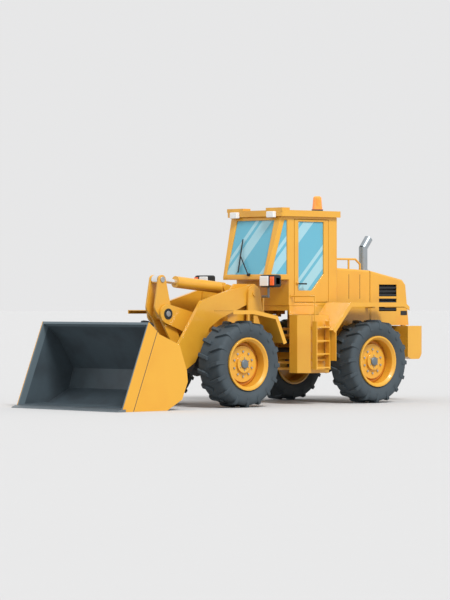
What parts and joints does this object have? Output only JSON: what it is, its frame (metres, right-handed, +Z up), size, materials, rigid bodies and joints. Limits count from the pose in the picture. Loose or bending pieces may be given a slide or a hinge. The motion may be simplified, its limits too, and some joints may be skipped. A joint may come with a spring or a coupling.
{
  "type": "wheel loader",
  "caption": "Articulated wheel loader with cab, hinged hood, four lugged tyres and a front bucket on lift arms with tilt linkage.",
  "frame": {"origin": "on the ground, under the middle of the machine's overall box, with the bucket flat on the ground", "axes": "+X ahead, towards the bucket; +Y to the driver's left; +Z up"},
  "size_m": [7.11, 2.55, 3.36],
  "materials": {
    "machine_yellow": "glossy enamel, golden yellow",
    "bucket_grey": "satin slate-grey paint",
    "edge_steel": "worn mid-grey steel",
    "chassis_dark": "satin dark grey paint",
    "tyre_rubber": "matt slate-grey rubber",
    "rod_chrome": "polished",
    "pin_steel": "machined",
    "cab_glass": "clear, light blue tint",
    "trim_black": "moulded, matt black",
    "lamp_white": "clear-fronted lamp, white",
    "beacon_amber": "translucent amber",
    "exhaust_grey": "heat-dulled grey steel",
    "cushion_fabric": "woven dark grey cloth"
  },
  "bodies": {
    "rear_body": {"rear_frame": "machine_yellow", "rear_axle": "chassis_dark", "engine": "chassis_dark", "counterweight": "machine_yellow", "engine_deck": "machine_yellow", "deck_rails": "machine_yellow", "cab_frame": "machine_yellow", "cab_roof": "machine_yellow", "cab_glass": "cab_glass", "beacon": "beacon_amber", "roof_lamps": "lamp_white", "driver_seat": "cushion_fabric", "cab_controls": "trim_black", "rear_fenders": "machine_yellow", "side_boxes": "machine_yellow", "ladder": "machine_yellow"},
    "hood": {"hood_shell": "machine_yellow", "hood_grilles": "trim_black", "exhaust_stack": "exhaust_grey"},
    "door": {"door_panel": "machine_yellow", "door_glass": "cab_glass"},
    "front_body": {"front_frame": "machine_yellow", "front_axle": "chassis_dark", "front_fenders": "machine_yellow", "headlamps": "lamp_white"},
    "boom": {"boom": "machine_yellow"},
    "bell_crank_pin": {"bell_crank_pin": "pin_steel"},
    "bell_crank": {"bell_crank": "machine_yellow"},
    "bucket_pins": {"bucket_pins": "pin_steel"},
    "bucket": {"bucket_shell": "bucket_grey", "cutting_edge": "edge_steel"},
    "link_pin": {"link_pin": "pin_steel"},
    "tilt_link": {"tilt_link": "machine_yellow"},
    "lift_barrels": {"lift_barrels": "machine_yellow"},
    "lift_rods": {"lift_rods": "rod_chrome"},
    "tilt_barrel": {"tilt_barrel": "machine_yellow"},
    "tilt_rod": {"tilt_rod": "rod_chrome"},
    "steer_barrel_left": {"steer_barrel_left": "chassis_dark"},
    "steer_rod_left": {"steer_rod_left": "rod_chrome"},
    "steer_barrel_right": {"steer_barrel_right": "chassis_dark"},
    "steer_rod_right": {"steer_rod_right": "rod_chrome"},
    "wheel_front_left": {"tyre_front_left": "tyre_rubber", "rim_front_left": "machine_yellow"},
    "wheel_front_right": {"tyre_front_right": "tyre_rubber", "rim_front_right": "machine_yellow"},
    "wheel_rear_left": {"tyre_rear_left": "tyre_rubber", "rim_rear_left": "machine_yellow"},
    "wheel_rear_right": {"tyre_rear_right": "tyre_rubber", "rim_rear_right": "machine_yellow"}
  },
  "joints": [
    {"name": "steer", "type": "hinge", "parent": "rear_body", "child": "front_body", "pos_m": [-0.6, 0, 0.86], "axis": [0, 0, 1], "range_deg": [-38, 38]},
    {"name": "boom_lift", "type": "hinge", "parent": "front_body", "child": "boom", "pos_m": [0.01, 0, 1.775], "axis": [0, -1, 0], "range_deg": [0, 85]},
    {"name": "bucket_tilt", "type": "hinge", "parent": "bucket_pins", "child": "bucket", "pos_m": [2, 0, 0.37], "axis": [0, 1, 0], "range_deg": [-42, 45]},
    {"name": "bucket_pins_turn", "type": "hinge", "parent": "boom", "child": "bucket_pins", "pos_m": [2, 0, 0.37], "axis": [0, -1, 0], "range_deg": [-71.5, 1]},
    {"name": "crank_pin_turn", "type": "hinge", "parent": "boom", "child": "bell_crank_pin", "pos_m": [1.59, 0, 1.453], "axis": [0, -1, 0], "range_deg": [-1, 24.5]},
    {"name": "crank_turn", "type": "hinge", "parent": "bell_crank_pin", "child": "bell_crank", "pos_m": [1.59, 0, 1.453], "axis": [0, -1, 0], "range_deg": [-6.5, 6.5]},
    {"name": "link_pin_turn", "type": "hinge", "parent": "bucket", "child": "link_pin", "pos_m": [2.099, 0, 0.621], "axis": [0, -1, 0], "range_deg": [-1, 57]},
    {"name": "link_turn", "type": "hinge", "parent": "link_pin", "child": "tilt_link", "pos_m": [2.099, 0, 0.621], "axis": [0, -1, 0], "range_deg": [-39, 41.5]},
    {"name": "lift_barrel_turn", "type": "hinge", "parent": "front_body", "child": "lift_barrels", "pos_m": [-0.3, 0, 0.85], "axis": [0, -1, 0], "range_deg": [-1, 42.5]},
    {"name": "lift_rod_slide", "type": "slide", "parent": "lift_barrels", "child": "lift_rods", "axis": [0.9415, 0, 0.3369], "range_m": [-0.005, 0.745]},
    {"name": "tilt_barrel_turn", "type": "hinge", "parent": "front_body", "child": "tilt_barrel", "pos_m": [0.27, 0, 1.86], "axis": [0, -1, 0], "range_deg": [-1, 99.5]},
    {"name": "tilt_rod_slide", "type": "slide", "parent": "tilt_barrel", "child": "tilt_rod", "axis": [0.9957, 0, 0.0928], "range_m": [-0.065, 0.065]},
    {"name": "steer_barrel_left_turn", "type": "hinge", "parent": "rear_body", "child": "steer_barrel_left", "pos_m": [-1.18, 0.3, 1], "axis": [0, 0, 1], "range_deg": [-13, 13]},
    {"name": "steer_rod_left_slide", "type": "slide", "parent": "steer_barrel_left", "child": "steer_rod_left", "axis": [0.9925, 0.1225, 0], "range_m": [-0.245, 0.245]},
    {"name": "steer_barrel_right_turn", "type": "hinge", "parent": "rear_body", "child": "steer_barrel_right", "pos_m": [-1.18, -0.3, 1], "axis": [0, 0, 1], "range_deg": [-13, 13]},
    {"name": "steer_rod_right_slide", "type": "slide", "parent": "steer_barrel_right", "child": "steer_rod_right", "axis": [0.9925, -0.1225, 0], "range_m": [-0.245, 0.245]},
    {"name": "door_swing", "type": "hinge", "parent": "rear_body", "child": "door", "pos_m": [-1.484, 0.626, 2.3], "axis": [0, 0, 1], "range_deg": [0, 90]},
    {"name": "hood_tilt", "type": "hinge", "parent": "rear_body", "child": "hood", "pos_m": [-3.478, 0, 1.266], "axis": [0, -1, 0], "range_deg": [0, 60]},
    {"name": "wheel_front_left_spin", "type": "hinge", "parent": "front_body", "child": "wheel_front_left", "pos_m": [0.835, 0.975, 0.675], "axis": [0, 1, 0], "continuous": true},
    {"name": "wheel_front_right_spin", "type": "hinge", "parent": "front_body", "child": "wheel_front_right", "pos_m": [0.835, -0.975, 0.675], "axis": [0, 1, 0], "continuous": true},
    {"name": "wheel_rear_left_spin", "type": "hinge", "parent": "rear_body", "child": "wheel_rear_left", "pos_m": [-2.035, 0.975, 0.675], "axis": [0, 1, 0], "continuous": true},
    {"name": "wheel_rear_right_spin", "type": "hinge", "parent": "rear_body", "child": "wheel_rear_right", "pos_m": [-2.035, -0.975, 0.675], "axis": [0, 1, 0], "continuous": true}
  ],
  "couplings": [
    {"joint": "bucket_pins_turn", "follows": "boom_lift", "ratio": -0.834},
    {"joint": "crank_pin_turn", "follows": "boom_lift", "ratio": 0.2772},
    {"joint": "crank_turn", "follows": "bucket_tilt", "ratio": 0.13},
    {"joint": "link_pin_turn", "follows": "boom_lift", "ratio": 0.6584},
    {"joint": "link_turn", "follows": "bucket_tilt", "ratio": 0.9},
    {"joint": "lift_barrel_turn", "follows": "boom_lift", "ratio": 0.48811},
    {"joint": "lift_rod_slide", "follows": "boom_lift", "m_per_rad": 0.4933},
    {"joint": "tilt_barrel_turn", "follows": "boom_lift", "ratio": 1.1585},
    {"joint": "tilt_rod_slide", "follows": "bucket_tilt", "m_per_rad": -0.0692},
    {"joint": "steer_barrel_left_turn", "follows": "steer", "ratio": 0.317},
    {"joint": "steer_rod_left_slide", "follows": "steer", "m_per_rad": -0.35856},
    {"joint": "steer_barrel_right_turn", "follows": "steer", "ratio": 0.317},
    {"joint": "steer_rod_right_slide", "follows": "steer", "m_per_rad": 0.35856}
  ]
}
